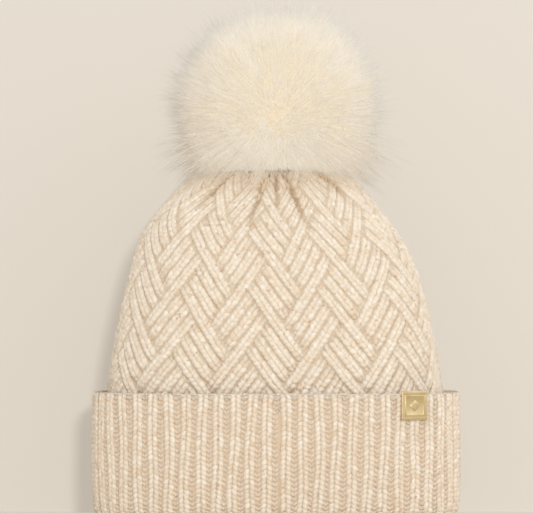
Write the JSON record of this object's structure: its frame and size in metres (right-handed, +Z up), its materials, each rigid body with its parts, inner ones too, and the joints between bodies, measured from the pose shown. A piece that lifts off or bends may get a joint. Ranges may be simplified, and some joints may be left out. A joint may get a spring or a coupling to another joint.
{
  "type": "pom pom beanie",
  "caption": "Cuffed knit winter beanie with a patterned crown, rib cuff, press-on fur pom, small metal tag and fleece lining.",
  "frame": {"origin": "middle of the brim, on the surface that the folded cuff stands on", "axes": "+Z up through the crown and the pom; the front, with the tag, looks along -Y; +X is on the right of someone looking at the front"},
  "size_m": [0.2254, 0.141, 0.325],
  "materials": {
    "body_knit": "matte",
    "rib_knit": "matte",
    "yarn": "matte",
    "fleece": "matte",
    "sewing_thread": "matte",
    "woven_label": "matte",
    "satin_label": "satin",
    "gold_metal": "satin",
    "steel": "satin",
    "felt": "matte",
    "snap_metal": "polished",
    "stuffing": "matte",
    "fur": "matte"
  },
  "bodies": {
    "hat": {"knit_crown": "body_knit", "ribbed_cuff": "rib_knit", "crown_gather_yarn": "yarn", "back_seam_yarn": "yarn", "cuff_tack_stitches": "yarn", "lining_gore_front_left": "fleece", "lining_gore_front_right": "fleece", "lining_gore_back_left": "fleece", "lining_gore_back_right": "fleece", "lining_hem_stitches": "sewing_thread", "woven_label": "woven_label", "label_stitches": "sewing_thread", "tag_plate": "gold_metal", "tag_backing_plate": "steel", "crown_patch": "felt", "socket_rivet_cap": "snap_metal", "snap_socket": "snap_metal", "snap_spring": "steel"},
    "stud": {"snap_stud": "snap_metal", "stud_rivet_cap": "snap_metal"},
    "pom": {"pom_base_disc": "felt", "pom_gather_thread": "sewing_thread", "pom_stuffing": "stuffing", "pom_fur": "fur"},
    "label": {"care_label": "satin_label"}
  },
  "joints": [
    {"name": "pom_pull_off", "type": "slide", "parent": "hat", "child": "stud", "axis": [0, 0, 1], "range_m": [0, 0.05]},
    {"name": "pom_turn", "type": "hinge", "parent": "stud", "child": "pom", "pos_m": [0, 0, 0.2095], "axis": [0, 0, 1], "continuous": true},
    {"name": "care_label_flip", "type": "hinge", "parent": "hat", "child": "label", "pos_m": [0, 0.0531, 0.062], "axis": [-1, 0, 0], "range_deg": [0, 80]}
  ]
}
